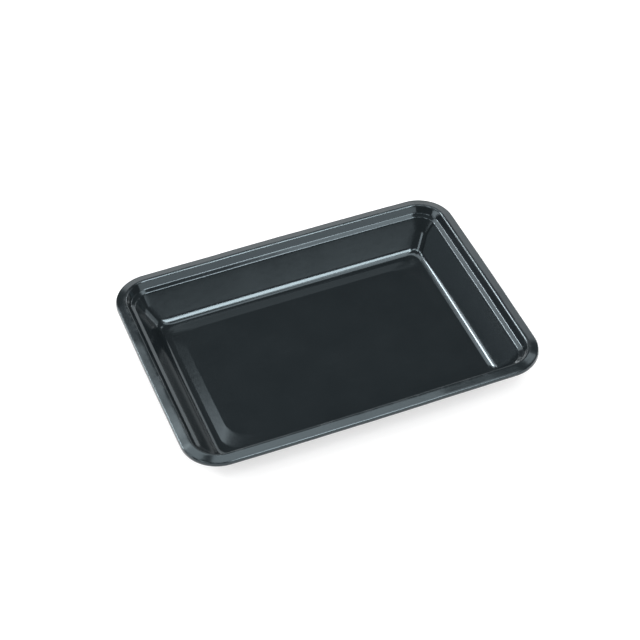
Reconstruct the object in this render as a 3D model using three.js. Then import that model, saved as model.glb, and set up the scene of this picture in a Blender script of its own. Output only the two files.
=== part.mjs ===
// Shallow rectangular food tray, thermoformed from one thin sheet of black plastic.
//
// Millimetres, +Z up, long side along X. The origin is on the surface the tray stands on,
// under the middle of the tray.
//
// One moulded section runs from the free edge of the rim to the middle of the floor. It is
// carried round a rounded rectangle whose sides are very slightly bowed, once as the upper face
// of the sheet and once, a sheet's thickness below, as the lower face.

import * as THREE from 'three';

// ---- driving dimensions -------------------------------------------------------------------

// Plan of the free edge, the widest line of the tray
const LENGTH = 200;
const WIDTH = 148.6;
const CORNER_RADIUS = 20.7;
const LONG_SIDE_BOW = 0.6;
const SHORT_SIDE_BOW = 0.4;

// Levels above the standing surface, all on the upper face of the sheet except the skirt's end
const TRAY_HEIGHT = 22.5;
const SHEET = 0.5;
const RIM_DROOP = 1;
const SKIRT_DEPTH = 2;
const LEDGE_DEPTH = 4.2;
const LEDGE_FALL = 1.1;
const FLOOR_PANEL_RISE = 0.5;

// Distances in from the free edge, measured square to it
const SKIRT_TOP_INSET = 0.25;
const CREST_OUTER_INSET = 4.85;
const CREST_INNER_INSET = 5.85;
const LEDGE_OUTER_INSET = 8.15;
const LEDGE_INNER_INSET = 10.35;
const WALL_FOOT_INSET = 20.9;
const FOOT_RING_INSET = 25.4;
const FLOOR_PANEL_INSET = 30.9;

// Radii of the bends, on the upper face
const EDGE_BEND = 0.7;
const CREST_OUTER_BEND = 1.8;
const CREST_INNER_BEND = 1.2;
const LEDGE_OUTER_BEND = 0.7;
const LEDGE_INNER_BEND = 0.7;
const WALL_FOOT_BEND = 5.2;
const FLOOR_PANEL_BEND = 3;

// Plan radius of the corners where the wall meets the floor, and how it grows over the floor
const FLOOR_CORNER_RADIUS = 6;
const FLOOR_CORNER_GROWTH = 0.8;

// Facets
const BEND_STEP = THREE.MathUtils.degToRad(15);
const SHORT_SIDE_FACETS = 2;
const LONG_SIDE_FACETS = 3;
const CORNER_FACETS = 9;

// ---- the moulded section ------------------------------------------------------------------

const crestLevel = TRAY_HEIGHT;
const edgeLevel = crestLevel - RIM_DROOP;
const ledgeOuterLevel = crestLevel - LEDGE_DEPTH;
const ledgeInnerLevel = ledgeOuterLevel - LEDGE_FALL;
const ringLevel = SHEET;
const panelLevel = SHEET + FLOOR_PANEL_RISE;

// Corner points of the section on the upper face, each with its bend radius
const sectionCorners = [
  { inset: 0, level: edgeLevel - SKIRT_DEPTH, bend: 0 },
  { inset: SKIRT_TOP_INSET, level: edgeLevel, bend: EDGE_BEND },
  { inset: CREST_OUTER_INSET, level: crestLevel, bend: CREST_OUTER_BEND },
  { inset: CREST_INNER_INSET, level: crestLevel, bend: CREST_INNER_BEND },
  { inset: LEDGE_OUTER_INSET, level: ledgeOuterLevel, bend: LEDGE_OUTER_BEND },
  { inset: LEDGE_INNER_INSET, level: ledgeInnerLevel, bend: LEDGE_INNER_BEND },
  { inset: WALL_FOOT_INSET, level: ringLevel, bend: WALL_FOOT_BEND },
  { inset: FOOT_RING_INSET, level: ringLevel, bend: FLOOR_PANEL_BEND },
  { inset: FLOOR_PANEL_INSET, level: panelLevel, bend: FLOOR_PANEL_BEND },
  { inset: FLOOR_PANEL_INSET + FLOOR_PANEL_BEND, level: panelLevel, bend: 0 },
];

// The section as points, every bend drawn as an arc tangent to the two straights beside it.
// Each point keeps the unit normal of the upper face, so the lower face can be set off from it.
function roundedSection(corners) {
  const spots = corners.map((corner) => new THREE.Vector2(corner.inset, corner.level));
  const points = [];
  for (let i = 0; i < spots.length; i += 1) {
    const before = spots[Math.max(i - 1, 0)];
    const after = spots[Math.min(i + 1, spots.length - 1)];
    const arriving = new THREE.Vector2().subVectors(spots[i], before).normalize();
    const leaving = new THREE.Vector2().subVectors(after, spots[i]).normalize();
    if (i === 0 || i === spots.length - 1) {
      const along = i === 0 ? leaving : arriving;
      points.push({ spot: spots[i], normal: new THREE.Vector2(-along.y, along.x) });
      continue;
    }
    const turn = Math.atan2(arriving.cross(leaving), arriving.dot(leaving));
    const side = Math.sign(turn);
    const radius = corners[i].bend;
    const setback = radius * Math.tan(Math.abs(turn) / 2);
    const start = spots[i].clone().addScaledVector(arriving, -setback);
    const startNormal = new THREE.Vector2(-arriving.y, arriving.x);
    const centre = start.clone().addScaledVector(startNormal, side * radius);
    const steps = Math.max(2, Math.ceil(Math.abs(turn) / BEND_STEP));
    for (let k = 0; k <= steps; k += 1) {
      const normal = startNormal.clone().rotateAround(new THREE.Vector2(), (turn * k) / steps);
      const spot = centre.clone().addScaledVector(normal, -side * radius);
      points.push({ spot, normal });
    }
  }
  return points;
}

// ---- the plan -----------------------------------------------------------------------------

// Radius of the plan's corners at a distance in from the free edge: concentric bends down the
// wall, then a smallest radius at its foot, then wider ones again across the floor.
function cornerRadius(inset) {
  const concentric = CORNER_RADIUS - inset;
  const acrossFloor = FLOOR_CORNER_RADIUS + FLOOR_CORNER_GROWTH * (inset - WALL_FOOT_INSET);
  return Math.max(concentric, FLOOR_CORNER_RADIUS, acrossFloor);
}

// A quarter of the plan: the short side's arc, the corner's arc and the long side's arc, all
// tangent. The centre of the corner's arc is where two circles about the side arcs' centres meet.
function planQuarter(inset) {
  const radius = cornerRadius(inset);
  const longRadius = (LENGTH / 2) ** 2 / (2 * LONG_SIDE_BOW);
  const shortRadius = (WIDTH / 2) ** 2 / (2 * SHORT_SIDE_BOW);
  const longCentre = new THREE.Vector2(0, WIDTH / 2 - longRadius);
  const shortCentre = new THREE.Vector2(LENGTH / 2 - shortRadius, 0);
  const fromLong = longRadius - inset - radius;
  const fromShort = shortRadius - inset - radius;
  const between = new THREE.Vector2().subVectors(shortCentre, longCentre);
  const distance = between.length();
  const along = (fromLong ** 2 - fromShort ** 2 + distance ** 2) / (2 * distance);
  const across = Math.sqrt(fromLong ** 2 - along ** 2);
  const direction = between.clone().normalize();
  const square = new THREE.Vector2(direction.y, -direction.x);
  const towardCorner = square.x + square.y > 0 ? 1 : -1;
  const centre = longCentre.clone();
  centre.addScaledVector(direction, along);
  centre.addScaledVector(square, towardCorner * across);

  const shortEnd = centre.clone().sub(shortCentre).angle();
  const longEnd = centre.clone().sub(longCentre).angle();
  const arcs = [
    { middle: shortCentre, size: shortRadius - inset, from: 0, to: shortEnd, facets: SHORT_SIDE_FACETS },
    { middle: centre, size: radius, from: shortEnd, to: longEnd, facets: CORNER_FACETS },
    { middle: longCentre, size: longRadius - inset, from: longEnd, to: Math.PI / 2, facets: LONG_SIDE_FACETS },
  ];
  const quarter = [];
  for (const arc of arcs) {
    for (let k = 0; k < arc.facets; k += 1) {
      const angle = arc.from + ((arc.to - arc.from) * k) / arc.facets;
      const x = arc.middle.x + arc.size * Math.cos(angle);
      const y = arc.middle.y + arc.size * Math.sin(angle);
      quarter.push(new THREE.Vector2(x, y));
    }
  }
  quarter.push(new THREE.Vector2(0, WIDTH / 2 - inset));
  return quarter;
}

// The whole plan, counter-clockwise from the middle of the +X side, by mirroring the quarter.
function planRing(inset, level) {
  const quarter = planQuarter(inset);
  const mirrored = quarter.slice(0, -1).reverse();
  const half = [...quarter, ...mirrored.map((p) => new THREE.Vector2(-p.x, p.y))];
  const otherHalf = half.slice(1, -1).map((p) => new THREE.Vector2(-p.x, -p.y));
  return [...half, ...otherHalf].map((p) => new THREE.Vector3(p.x, p.y, level));
}

// ---- the sheet ----------------------------------------------------------------------------

// A closed body from rings of equal count: neighbouring rings are joined by triangles, and the
// first and last rings are closed by a fan about their middle.
function bodyFromRings(rings) {
  const count = rings[0].length;
  const vertices = rings.flat();
  const triangles = [];
  for (let row = 0; row < rings.length - 1; row += 1) {
    for (let k = 0; k < count; k += 1) {
      const next = (k + 1) % count;
      const a = row * count + k;
      const b = row * count + next;
      const c = a + count;
      const d = b + count;
      triangles.push(a, b, d);
      triangles.push(a, d, c);
    }
  }
  const lastRow = (rings.length - 1) * count;
  const firstMiddle = vertices.length;
  vertices.push(new THREE.Vector3(0, 0, rings[0][0].z));
  const lastMiddle = vertices.length;
  vertices.push(new THREE.Vector3(0, 0, rings[rings.length - 1][0].z));
  for (let k = 0; k < count; k += 1) {
    const next = (k + 1) % count;
    triangles.push(firstMiddle, next, k);
    triangles.push(lastMiddle, lastRow + k, lastRow + next);
  }
  const geometry = new THREE.BufferGeometry().setFromPoints(vertices);
  geometry.setIndex(triangles);
  geometry.computeVertexNormals();
  return geometry;
}

// Lower face from the middle outwards, round the free edge, then the upper face back inwards.
function trayGeometry() {
  const section = roundedSection(sectionCorners);
  const upper = section.map(({ spot }) => planRing(spot.x, spot.y));
  const lower = section.map(({ spot, normal }) => {
    const below = spot.clone().addScaledVector(normal, -SHEET);
    return planRing(below.x, below.y);
  });
  return bodyFromRings([...lower.reverse(), ...upper]);
}

function blackPlastic() {
  return new THREE.MeshStandardMaterial({ color: 0x14181a, roughness: 0.3, metalness: 0 });
}

const tray = new THREE.Mesh(trayGeometry(), blackPlastic());
tray.name = 'tray';

const part = new THREE.Group();
part.add(tray);

export default part;
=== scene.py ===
"""An empty black plastic food tray on a pale floor. Metres, +Z up, in the CAD model's frame."""

import math

import bpy
import numpy as np
from mathutils import Matrix, Vector


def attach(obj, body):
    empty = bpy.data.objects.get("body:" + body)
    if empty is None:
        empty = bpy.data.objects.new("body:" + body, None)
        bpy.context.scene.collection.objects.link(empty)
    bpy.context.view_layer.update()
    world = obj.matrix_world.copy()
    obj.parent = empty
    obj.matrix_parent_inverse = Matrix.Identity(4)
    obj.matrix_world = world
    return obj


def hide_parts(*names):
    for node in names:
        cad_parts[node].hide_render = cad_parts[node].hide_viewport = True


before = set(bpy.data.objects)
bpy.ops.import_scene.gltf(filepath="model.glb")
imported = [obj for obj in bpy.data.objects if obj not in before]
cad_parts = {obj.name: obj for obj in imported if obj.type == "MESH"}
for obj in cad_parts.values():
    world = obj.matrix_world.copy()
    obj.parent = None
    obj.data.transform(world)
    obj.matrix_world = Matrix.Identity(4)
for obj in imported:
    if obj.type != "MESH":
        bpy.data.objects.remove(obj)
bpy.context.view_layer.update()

MM = 0.001

# ---- the tray's dimensions, metres --------------------------------------------------------

# Plan of the free edge, the widest line of the tray
LENGTH = 200 * MM
WIDTH = 148.6 * MM
CORNER_RADIUS = 20.7 * MM
LONG_SIDE_BOW = 0.6 * MM
SHORT_SIDE_BOW = 0.4 * MM

# Height of the tray, thickness of its sheet, and the steps of its upper face
TRAY_HEIGHT = 22.5 * MM
SHEET = 0.5 * MM
RIM_DROOP = 1 * MM
SKIRT_DEPTH = 2 * MM
LEDGE_DEPTH = 4.2 * MM
LEDGE_FALL = 1.1 * MM
FLOOR_PANEL_RISE = 0.5 * MM

# Levels of the upper face above the standing surface
EDGE_LEVEL = TRAY_HEIGHT - RIM_DROOP
SKIRT_LEVEL = EDGE_LEVEL - SKIRT_DEPTH
LEDGE_OUTER_LEVEL = TRAY_HEIGHT - LEDGE_DEPTH
LEDGE_INNER_LEVEL = LEDGE_OUTER_LEVEL - LEDGE_FALL
PANEL_LEVEL = SHEET + FLOOR_PANEL_RISE

# Distances in from the free edge
SKIRT_TOP_INSET = 0.25 * MM
CREST_OUTER_INSET = 4.85 * MM
CREST_INNER_INSET = 5.85 * MM
LEDGE_OUTER_INSET = 8.15 * MM
LEDGE_INNER_INSET = 10.35 * MM
WALL_FOOT_INSET = 20.9 * MM
FOOT_RING_INSET = 25.4 * MM
FLOOR_PANEL_INSET = 30.9 * MM

# Radii of the bends, on the upper face
EDGE_BEND = 0.7 * MM
CREST_OUTER_BEND = 1.8 * MM
CREST_INNER_BEND = 1.2 * MM
LEDGE_OUTER_BEND = 0.7 * MM
LEDGE_INNER_BEND = 0.7 * MM
WALL_FOOT_BEND = 5.2 * MM
FLOOR_PANEL_BEND = 3 * MM

# The section's corner points on the upper face: inset from the free edge, level, bend radius
SECTION = [
    (0, SKIRT_LEVEL, 0),
    (SKIRT_TOP_INSET, EDGE_LEVEL, EDGE_BEND),
    (CREST_OUTER_INSET, TRAY_HEIGHT, CREST_OUTER_BEND),
    (CREST_INNER_INSET, TRAY_HEIGHT, CREST_INNER_BEND),
    (LEDGE_OUTER_INSET, LEDGE_OUTER_LEVEL, LEDGE_OUTER_BEND),
    (LEDGE_INNER_INSET, LEDGE_INNER_LEVEL, LEDGE_INNER_BEND),
    (WALL_FOOT_INSET, SHEET, WALL_FOOT_BEND),
    (FOOT_RING_INSET, SHEET, FLOOR_PANEL_BEND),
    (FLOOR_PANEL_INSET, PANEL_LEVEL, FLOOR_PANEL_BEND),
    (FLOOR_PANEL_INSET + FLOOR_PANEL_BEND, PANEL_LEVEL, 0),
]

# Plan radius of the corners where the wall meets the floor, and how it grows over the floor
FLOOR_CORNER_RADIUS = 6 * MM
FLOOR_CORNER_GROWTH = 0.8

# Slow waves of the moulded sheet round the tray: waves in one round, their height, their start
SHEET_WAVES = [
    (5, 0.06 * MM, 0.4),
    (11, 0.05 * MM, 2.1),
    (23, 0.03 * MM, 4.0),
    (41, 0.015 * MM, 1.2),
]

# How far the middle of the floor panel hangs below its edge
PANEL_SAG = 0.15 * MM

# Mesh density: the turn and the length of one step along the section, and the steps on half a
# side, round a corner, and from the floor panel's edge to its middle
BEND_STEP = math.radians(7)
STRAIGHT_STEP = 0.8 * MM
SHORT_SIDE_STEPS = 16
LONG_SIDE_STEPS = 22
CORNER_STEPS = 22
PANEL_STEPS = 14


# ---- surfaces -----------------------------------------------------------------------------

def rounded_section(corners):
    """Points and upper-face unit normals along the section, as two arrays of (inset, level).

    Each straight is split into equal steps, and each bend is an arc tangent to the straights
    beside it: a point on the arc is its centre plus or minus the radius along the normal, which
    turns evenly from one straight's normal to the next one's."""
    spots = np.array([corner[:2] for corner in corners])
    runs = np.diff(spots, axis=0)
    runs /= np.linalg.norm(runs, axis=1)[:, None]
    normals = np.stack([-runs[:, 1], runs[:, 0]], axis=1)
    turns = np.arctan2(
        runs[:-1, 0] * runs[1:, 1] - runs[:-1, 1] * runs[1:, 0],
        np.sum(runs[:-1] * runs[1:], axis=1),
    )
    points, facing = [], []
    last = spots[0]
    for i, turn in enumerate(turns):
        radius = corners[i + 1][2]
        start = spots[i + 1] - runs[i] * radius * math.tan(abs(turn) / 2)
        steps = max(1, round(np.linalg.norm(start - last) / STRAIGHT_STEP))
        along = np.arange(steps)[:, None] / steps
        points.append(last + (start - last) * along)
        facing.append(np.repeat(normals[i][None], steps, axis=0))
        side = math.copysign(1, turn)
        steps = max(2, math.ceil(abs(turn) / BEND_STEP))
        angle = turn * np.arange(steps) / steps
        turned = np.stack([
            normals[i][0] * np.cos(angle) - normals[i][1] * np.sin(angle),
            normals[i][0] * np.sin(angle) + normals[i][1] * np.cos(angle),
        ], axis=1)
        centre = start + side * radius * normals[i]
        points.append(centre - side * radius * turned)
        facing.append(turned)
        last = centre - side * radius * normals[i + 1]
    steps = max(1, round(np.linalg.norm(spots[-1] - last) / STRAIGHT_STEP))
    along = np.arange(steps + 1)[:, None] / steps
    points.append(last + (spots[-1] - last) * along)
    facing.append(np.repeat(normals[-1][None], steps + 1, axis=0))
    return np.concatenate(points), np.concatenate(facing)


def plan_rings(inset):
    """One closed ring of (x, y) for each inset, counter-clockwise, as an array of rings by points.

    A quarter is three tangent arcs: the short side's, the corner's and the long side's, with the
    corner's centre where circles about the two side arcs' centres cross. Mirroring gives the rest."""
    inset = np.asarray(inset, float)
    radius = np.maximum.reduce([
        CORNER_RADIUS - inset,
        np.full_like(inset, FLOOR_CORNER_RADIUS),
        FLOOR_CORNER_RADIUS + FLOOR_CORNER_GROWTH * (inset - WALL_FOOT_INSET),
    ])
    long_radius = (LENGTH / 2) ** 2 / (2 * LONG_SIDE_BOW)
    short_radius = (WIDTH / 2) ** 2 / (2 * SHORT_SIDE_BOW)
    long_centre = np.array([0, WIDTH / 2 - long_radius])
    short_centre = np.array([LENGTH / 2 - short_radius, 0])
    from_long = long_radius - inset - radius
    from_short = short_radius - inset - radius
    gap = np.linalg.norm(short_centre - long_centre)
    direction = (short_centre - long_centre) / gap
    square = np.array([direction[1], -direction[0]])
    square *= math.copysign(1, square.sum())
    along = (from_long ** 2 - from_short ** 2 + gap ** 2) / (2 * gap)
    across = np.sqrt(from_long ** 2 - along ** 2)
    centre = long_centre + along[:, None] * direction + across[:, None] * square
    short_end = np.arctan2(centre[:, 1], centre[:, 0] - short_centre[0])
    long_end = np.arctan2(centre[:, 1] - long_centre[1], centre[:, 0])
    arcs = [
        (short_centre, short_radius - inset, 0 * inset, short_end, SHORT_SIDE_STEPS),
        (centre, radius, short_end, long_end, CORNER_STEPS),
        (long_centre, long_radius - inset, long_end, 0 * inset + math.pi / 2, LONG_SIDE_STEPS),
    ]
    parts = []
    for middle, size, start, end, steps in arcs:
        angle = start[:, None] + (end - start)[:, None] * np.arange(steps) / steps
        offset = size[:, None, None] * np.stack([np.cos(angle), np.sin(angle)], axis=2)
        parts.append(np.broadcast_to(middle, (len(inset), 2))[:, None, :] + offset)
    top = np.stack([0 * inset, WIDTH / 2 - inset], axis=1)[:, None, :]
    quarter = np.concatenate([*parts, top], axis=1)
    half = np.concatenate([quarter, quarter[:, -2::-1] * [-1, 1]], axis=1)
    return np.concatenate([half, -half[:, 1:-1]], axis=1)


def waves_round(ring):
    """Rise of the sheet at each point of the free edge's ring: a sum of sines of the share of the
    way round, each a whole number of waves, so that the ends meet."""
    steps = np.linalg.norm(np.roll(ring, -1, axis=0) - ring, axis=1)
    share = (np.cumsum(steps) - steps) / steps.sum()
    return sum(
        height * np.sin(2 * math.pi * count * share + start)
        for count, height, start in SHEET_WAVES
    )


def rings_at(points):
    """Rings in space, an array of rings by points by xyz, for section points (inset, level).

    The sheet's slow waves lift each ring, fully at the free edge and fading to nothing at the
    wall's foot, where the mould holds the sheet flat."""
    plan = plan_rings(points[:, 0])
    fade = np.clip(1 - points[:, 0] / WALL_FOOT_INSET, 0, 1)[:, None]
    lift = fade * waves_round(plan_rings([0])[0])[None]
    level = points[:, 1][:, None] + lift
    return np.concatenate([plan, level[:, :, None]], axis=2)


def panel_rings(edge_ring):
    """Rings that shrink evenly from a flat ring towards its middle, without the middle itself,
    lowered by the panel's sag times one less the square of their share of the way out."""
    share = 1 - np.arange(1, PANEL_STEPS) / PANEL_STEPS
    rings = edge_ring[None] * np.stack([share, share, 1 + 0 * share], axis=1)[:, None, :]
    rings[:, :, 2] -= PANEL_SAG * (1 - share[:, None] ** 2)
    return rings


def closed_mesh(name, rings, ring_inset, cut_row):
    """A closed mesh of quads between rings of equal count, with a fan at each end.

    Every vertex keeps its inset in millimetres and its column's place on the free edge, and the
    faces of one row are marked as the cut edge of the sheet, which is left flat."""
    count, around = rings.shape[:2]
    row = np.arange(count - 1)[:, None] * around
    here = np.arange(around)[None]
    ahead = (here + 1) % around
    quads = np.stack([row + here, row + ahead, row + around + ahead, row + around + here], axis=2)
    first, last = count * around, count * around + 1
    ends = np.arange(around)
    next_end = (ends + 1) % around
    tail = (count - 1) * around
    fans = np.concatenate([
        np.stack([np.full(around, first), next_end, ends], axis=1),
        np.stack([np.full(around, last), tail + ends, tail + next_end], axis=1),
    ])
    middles = np.array([[0, 0, rings[0, 0, 2]], [0, 0, rings[-1, 0, 2]]])
    vertices = np.concatenate([rings.reshape(-1, 3), middles])
    mesh = bpy.data.meshes.new(name)
    mesh.from_pydata(vertices, [], [*quads.reshape(-1, 4).tolist(), *fans.tolist()])

    cut = np.zeros(len(mesh.polygons))
    cut[cut_row * around:(cut_row + 1) * around] = 1
    mesh.polygons.foreach_set("use_smooth", cut == 0)
    mesh.attributes.new("cut_edge", "FLOAT", "FACE").data.foreach_set("value", cut)
    inset = np.concatenate([np.repeat(ring_inset, around), ring_inset[[0, -1]]]) / MM
    mesh.attributes.new("inset", "FLOAT", "POINT").data.foreach_set("value", inset)
    edge = np.concatenate([plan_rings([0])[0], np.zeros((around, 1))], axis=1)
    column = np.concatenate([np.tile(edge, (count, 1)), np.zeros((2, 3))])
    mesh.attributes.new("column", "FLOAT_VECTOR", "POINT").data.foreach_set("vector", column.ravel())

    piece = bpy.data.objects.new(name, mesh)
    bpy.context.scene.collection.objects.link(piece)
    return piece


def tray_piece():
    """The moulded sheet: its lower face from the middle outwards, then its upper face back in."""
    points, normals = rounded_section(SECTION)
    upper = rings_at(points)
    lower = rings_at(points - SHEET * normals)
    rings = [panel_rings(lower[-1])[::-1], lower[::-1], upper, panel_rings(upper[-1])]
    panel_inset = np.full(PANEL_STEPS - 1, points[-1, 0])
    inset = np.concatenate([panel_inset, points[::-1, 0], points[:, 0], panel_inset])
    cut_row = PANEL_STEPS - 1 + len(points) - 1
    return closed_mesh("tray_shell", np.concatenate(rings), inset, cut_row)


# ---- shader maths -------------------------------------------------------------------------

class Value:
    """A shader socket that can be added, multiplied and so on, each adding its Math node."""

    def __init__(self, tree, socket):
        self.tree = tree
        self.socket = socket

    def combine(self, operation, *values):
        return node(self.tree, "ShaderNodeMath", {"operation": operation}, dict(enumerate(values)))

    def __add__(self, other):
        return self.combine("ADD", self, other)

    def __radd__(self, other):
        return self.combine("ADD", other, self)

    def __sub__(self, other):
        return self.combine("SUBTRACT", self, other)

    def __rsub__(self, other):
        return self.combine("SUBTRACT", other, self)

    def __mul__(self, other):
        return self.combine("MULTIPLY", self, other)

    def __rmul__(self, other):
        return self.combine("MULTIPLY", other, self)


def node(tree, kind, settings=None, inputs=None, output=0):
    """Adds a node, sets its settings, then its inputs from values or links; gives one output."""
    made = tree.nodes.new(kind)
    for key, value in (settings or {}).items():
        setattr(made, key, value)
    for key, value in (inputs or {}).items():
        if isinstance(value, Value):
            tree.links.new(value.socket, made.inputs[key])
        else:
            made.inputs[key].default_value = value
    return Value(tree, made.outputs[output]) if len(made.outputs) else made


def rise(value, low, high):
    """0 below the low value, 1 above the high one, and smooth between."""
    settings = {"interpolation_type": "SMOOTHSTEP"}
    inputs = {"Value": value, "From Min": low, "From Max": high}
    return node(value.tree, "ShaderNodeMapRange", settings, inputs)


def blend(factor, colour, other_colour):
    """The first colour where the factor is 0, the other one where it is 1."""
    inputs = {0: factor, 6: colour, 7: other_colour}
    return node(factor.tree, "ShaderNodeMix", {"data_type": "RGBA"}, inputs, 2)


def noise(place, size, detail=2):
    """Soft noise about one half, in spots of the given size in metres."""
    inputs = {"Vector": place, "Scale": 1 / size, "Detail": detail}
    return node(place.tree, "ShaderNodeTexNoise", None, inputs)


def scratches(place, heading, length, width):
    """Thin straight marks: noise squeezed across and stretched along a heading, cut off high."""
    turned = node(place.tree, "ShaderNodeMapping", None, {
        "Vector": place,
        "Rotation": (0, 0, math.radians(heading)),
        "Scale": (1 / length, 1 / width, 1 / length),
    })
    return rise(noise(turned, 1, 0), 0.70, 0.76)


def new_material(name):
    """A material with an empty node tree, and that tree."""
    material = bpy.data.materials.new(name)
    material.use_nodes = True
    material.node_tree.nodes.clear()
    return material, material.node_tree


# ---- the finish of the plastic ------------------------------------------------------------

# Linear colours of the plastic's darker and paler clouds, its rubbed places and its cut edge,
# a painted cool tint of the lamps' light on its gloss (the lamps are white), and its refractive index
PLASTIC_DARK = (0.0065, 0.0090, 0.0104, 1)
PLASTIC_PALE = (0.0100, 0.0130, 0.0148, 1)
RUBBED_COLOUR = (0.030, 0.035, 0.038, 1)
CUT_EDGE_COLOUR = (0.045, 0.050, 0.053, 1)
LAMP_TINT_IN_GLOSS = (0.75, 0.92, 1, 1)
REFRACTIVE_INDEX = 1.55

# Sizes of the spots and lines of each pattern
CLOUD_SIZE = 22 * MM
DRAW_LINE_SPACING = 1.6 * MM
RUBBED_SPOT_SIZE = 9 * MM
SCRATCHED_SPOT_SIZE = 30 * MM
GRAIN_SIZE = 0.35 * MM
UNEVENNESS_SIZE = 3.2 * MM

# Scratches on the floor: heading in degrees, length and width
LONG_SCRATCHES = (24, 14 * MM, 0.28 * MM)
SHORT_SCRATCHES = (-57, 9 * MM, 0.24 * MM)

# Roughness of the bare gloss, and what each pattern adds to it
GLOSS_ROUGHNESS = 0.09
CLOUD_ROUGHNESS = 0.06
DRAW_LINE_ROUGHNESS = 0.05
RUBBED_ROUGHNESS = 0.10
SCRATCH_ROUGHNESS = 0.04
CUT_EDGE_ROUGHNESS = 0.35

# Share of the rubbed colour on the rim's crest and in a scratch
CREST_PALENESS = 0.6
SCRATCH_PALENESS = 0.10

# Height of each pattern's relief, and the scratches' depth
GRAIN_HEIGHT = 0.0012 * MM
UNEVENNESS_HEIGHT = 0.010 * MM
DRAW_LINE_HEIGHT = 0.003 * MM
SCRATCH_DEPTH = 0.002 * MM


def black_plastic():
    """Glossy black thermoformed sheet. It has a fine grain and a soft unevenness, lines down the
    walls where the sheet was drawn, dull clouds where it cooled against the mould, light rubbing
    on the rim's crest, faint scratches on the floor, and a paler, dull cut edge."""
    material, tree = new_material("black_plastic")
    place = node(tree, "ShaderNodeTexCoord", output="Object")
    inset = node(tree, "ShaderNodeAttribute", {"attribute_name": "inset"}, output="Fac")
    column = node(tree, "ShaderNodeAttribute", {"attribute_name": "column"}, output="Vector")
    cut_edge = node(tree, "ShaderNodeAttribute", {"attribute_name": "cut_edge"}, output="Fac")

    # Zones of the section, with soft ends, by millimetres in from the free edge
    foot = WALL_FOOT_INSET / MM
    ledge = LEDGE_INNER_INSET / MM
    crest = CREST_INNER_INSET / MM
    on_wall = rise(inset, ledge, ledge + 2) * (1 - rise(inset, foot - 2, foot + 2))
    on_floor = rise(inset, foot, foot + 4)
    on_crest = rise(inset, crest - 2.5, crest - 0.8) * (1 - rise(inset, crest, crest + 0.8))

    clouds = noise(place, CLOUD_SIZE, 3)
    draw_lines = noise(column, DRAW_LINE_SPACING, 3)
    rubbed = rise(noise(place, RUBBED_SPOT_SIZE, 3), 0.46, 0.66)
    marks = scratches(place, *LONG_SCRATCHES) + scratches(place, *SHORT_SCRATCHES)
    floor_marks = marks * on_floor * rise(noise(place, SCRATCHED_SPOT_SIZE, 1), 0.42, 0.6)
    crest_rub = on_crest * rubbed

    roughness = GLOSS_ROUGHNESS + CLOUD_ROUGHNESS * clouds
    roughness = roughness + DRAW_LINE_ROUGHNESS * on_wall * draw_lines
    roughness = roughness + RUBBED_ROUGHNESS * crest_rub + SCRATCH_ROUGHNESS * floor_marks
    roughness = roughness + CUT_EDGE_ROUGHNESS * cut_edge

    paleness = CREST_PALENESS * crest_rub + SCRATCH_PALENESS * floor_marks
    colour = blend(clouds, PLASTIC_DARK, PLASTIC_PALE)
    colour = blend(paleness, colour, RUBBED_COLOUR)
    colour = blend(cut_edge, colour, CUT_EDGE_COLOUR)

    height = GRAIN_HEIGHT * noise(place, GRAIN_SIZE, 2)
    height = height + UNEVENNESS_HEIGHT * noise(place, UNEVENNESS_SIZE, 1)
    height = height + DRAW_LINE_HEIGHT * on_wall * draw_lines - SCRATCH_DEPTH * floor_marks
    relief = node(tree, "ShaderNodeBump", None, {"Strength": 1, "Distance": 1, "Height": height})
    shader = node(tree, "ShaderNodeBsdfPrincipled", None, {
        "Base Color": colour,
        "Roughness": roughness,
        "Normal": relief,
        "IOR": REFRACTIVE_INDEX,
        # Specular Tint: a painted cool tint of the lamps' light, laid on the plastic's reflections
        "Specular Tint": LAMP_TINT_IN_GLOSS,
    })
    node(tree, "ShaderNodeOutputMaterial", None, {"Surface": shader})
    return material


# ---- floor, lights, camera ----------------------------------------------------------------

# The camera, from the tray's outline in the photograph: its heading and drop in degrees, its
# roll, its distance, where the rim's centre stands off its axis, and its lens in millimetres
CAMERA_HEADING = 20.58
CAMERA_DROP = 44.74
CAMERA_ROLL = math.radians(-1.615)
CAMERA_DISTANCE = 1015.9 * MM
RIM_RIGHT_OF_AXIS = 2.15 * MM
RIM_ABOVE_AXIS = -1.45 * MM
CAMERA_LENS = 106.14
CAMERA_SENSOR_WIDTH = 36

# Softboxes, all at one distance in metres: heading from +Y towards +X and height above the
# floor, width and height as seen from the tray, all in degrees, then brightness
SOFTBOXES = {
    "main_back_left": (-42.5, 35.5, 11, 11, 33),
    "halo_back_left": (-34, 42, 27, 24, 2.4),
    "below_back_left": (-45, 23, 12, 14, 5),
    "low_back_left": (-41, 8, 17, 12, 7),
    "main_front": (160, 49, 12, 36, 15),
    "halo_front": (150, 51, 34, 31, 0.6),
    "high_front": (120, 68, 20, 14, 3.5),
    "low_front": (166, 14, 50, 10, 1.8),
    "high_left": (-102, 58, 18, 14, 7),
    "high_near_left": (-150, 58, 20, 12, 6),
    "high_far_left": (-66, 49, 12, 10, 9),
    "left": (-108, 40, 14, 14, 4.2),
    "low_left": (-75, 5, 40, 12, 3),
    "back": (24, 24.5, 48, 18, 1.45),
    "low_back_right": (66, 13, 31, 9, 8),
    "right": (98, 18, 30, 16, 1.4),
    "high_right": (55, 50, 8, 10, 2.5),
    "top_back": (43, 74, 27, 14, 2.8),
    "high_back": (-6.5, 58.5, 19, 18, 2.6),
    "low_back": (-8, 4.5, 40, 9, 3),
}
LIGHT_DISTANCE = 4
ROOM_BRIGHTNESS = 0.12

# The floor: half its side, how far it lies below the tray, its shade and its own light
FLOOR_HALF_SIDE = 3
FLOOR_GAP = 0.1 * MM
FLOOR_COLOUR = (0.5, 0.5, 0.5, 1)
FLOOR_ROUGHNESS = 0.8
FLOOR_GLOW = 0.55
WHITE = (1, 1, 1, 1)


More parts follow.
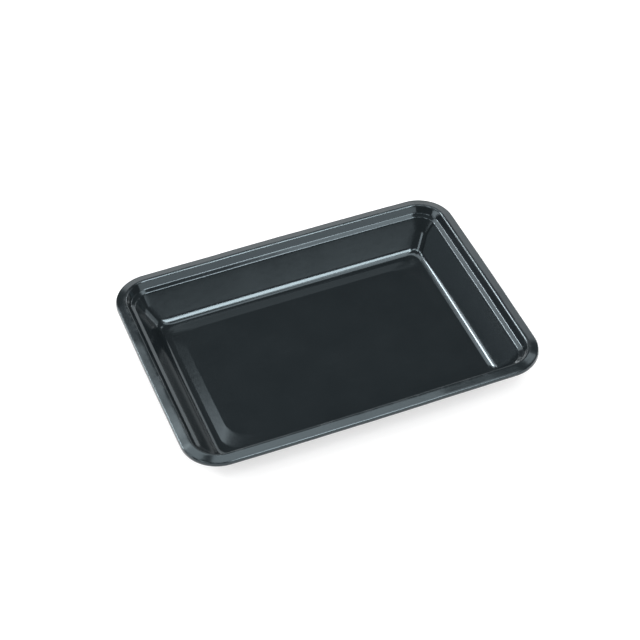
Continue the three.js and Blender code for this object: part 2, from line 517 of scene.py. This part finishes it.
def direction_of(heading, height):
    """Unit vector towards a heading, degrees from +Y towards +X, and a height above level."""
    heading, height = math.radians(heading), math.radians(height)
    level = math.cos(height)
    return Vector((math.sin(heading) * level, math.cos(heading) * level, math.sin(height)))


def add_camera():
    """The camera's forward, right and up directions from its heading, drop and roll; its place is
    the rim's centre less the rim's place along each of them."""
    forward = direction_of(CAMERA_HEADING, -CAMERA_DROP)
    level_right = direction_of(CAMERA_HEADING + 90, 0)
    level_up = level_right.cross(forward)
    right = level_right * math.cos(CAMERA_ROLL) + level_up * math.sin(CAMERA_ROLL)
    up = level_up * math.cos(CAMERA_ROLL) - level_right * math.sin(CAMERA_ROLL)
    place = Vector((0, 0, EDGE_LEVEL)) - right * RIM_RIGHT_OF_AXIS - up * RIM_ABOVE_AXIS
    place -= forward * CAMERA_DISTANCE
    data = bpy.data.cameras.new("camera")
    data.lens = CAMERA_LENS
    data.sensor_width = CAMERA_SENSOR_WIDTH
    camera = bpy.data.objects.new("camera", data)
    turn = Matrix((right, up, -forward)).transposed()
    camera.matrix_world = Matrix.Translation(place) @ turn.to_4x4()
    bpy.context.scene.collection.objects.link(camera)
    bpy.context.scene.camera = camera


def add_floor():
    """A white table for studio pictures, lit a little from below, which softens the shadow."""
    mesh = bpy.data.meshes.new("floor")
    half = FLOOR_HALF_SIDE
    level = -FLOOR_GAP
    corners = [(-half, -half, level), (half, -half, level), (half, half, level), (-half, half, level)]
    mesh.from_pydata(corners, [], [(0, 1, 2, 3)])
    floor = bpy.data.objects.new("floor", mesh)
    bpy.context.scene.collection.objects.link(floor)
    material, tree = new_material("pale_floor")
    shader = node(tree, "ShaderNodeBsdfPrincipled", None, {
        "Base Color": FLOOR_COLOUR,
        "Roughness": FLOOR_ROUGHNESS,
        "Emission Color": WHITE,
        "Emission Strength": FLOOR_GLOW,
    })
    node(tree, "ShaderNodeOutputMaterial", None, {"Surface": shader})
    mesh.materials.append(material)


def add_softbox(name, heading, height, width, tall, brightness):
    """A flat lamp turned towards the tray. Its power is its brightness times pi times its area."""
    toward = direction_of(heading, height)
    data = bpy.data.lights.new(name, "AREA")
    data.shape = "RECTANGLE"
    data.size = 2 * LIGHT_DISTANCE * math.tan(math.radians(width) / 2)
    data.size_y = 2 * LIGHT_DISTANCE * math.tan(math.radians(tall) / 2)
    data.energy = brightness * math.pi * data.size * data.size_y
    lamp = bpy.data.objects.new(name, data)
    lamp.location = toward * LIGHT_DISTANCE
    lamp.rotation_mode = "QUATERNION"
    lamp.rotation_quaternion = toward.to_track_quat("Z", "Y")
    bpy.context.scene.collection.objects.link(lamp)


def add_room():
    """An even, dim white room all round, behind the lamps."""
    world = bpy.data.worlds.new("room")
    world.use_nodes = True
    background = world.node_tree.nodes["Background"]
    background.inputs["Color"].default_value = WHITE
    background.inputs["Strength"].default_value = ROOM_BRIGHTNESS
    bpy.context.scene.world = world


add_camera()
add_floor()
for lamp_name, numbers in SOFTBOXES.items():
    add_softbox(lamp_name, *numbers)
add_room()

tray = tray_piece()
tray.data.materials.append(black_plastic())
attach(tray, "root")
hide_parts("tray")

bpy.context.scene.view_settings.view_transform = "Standard"
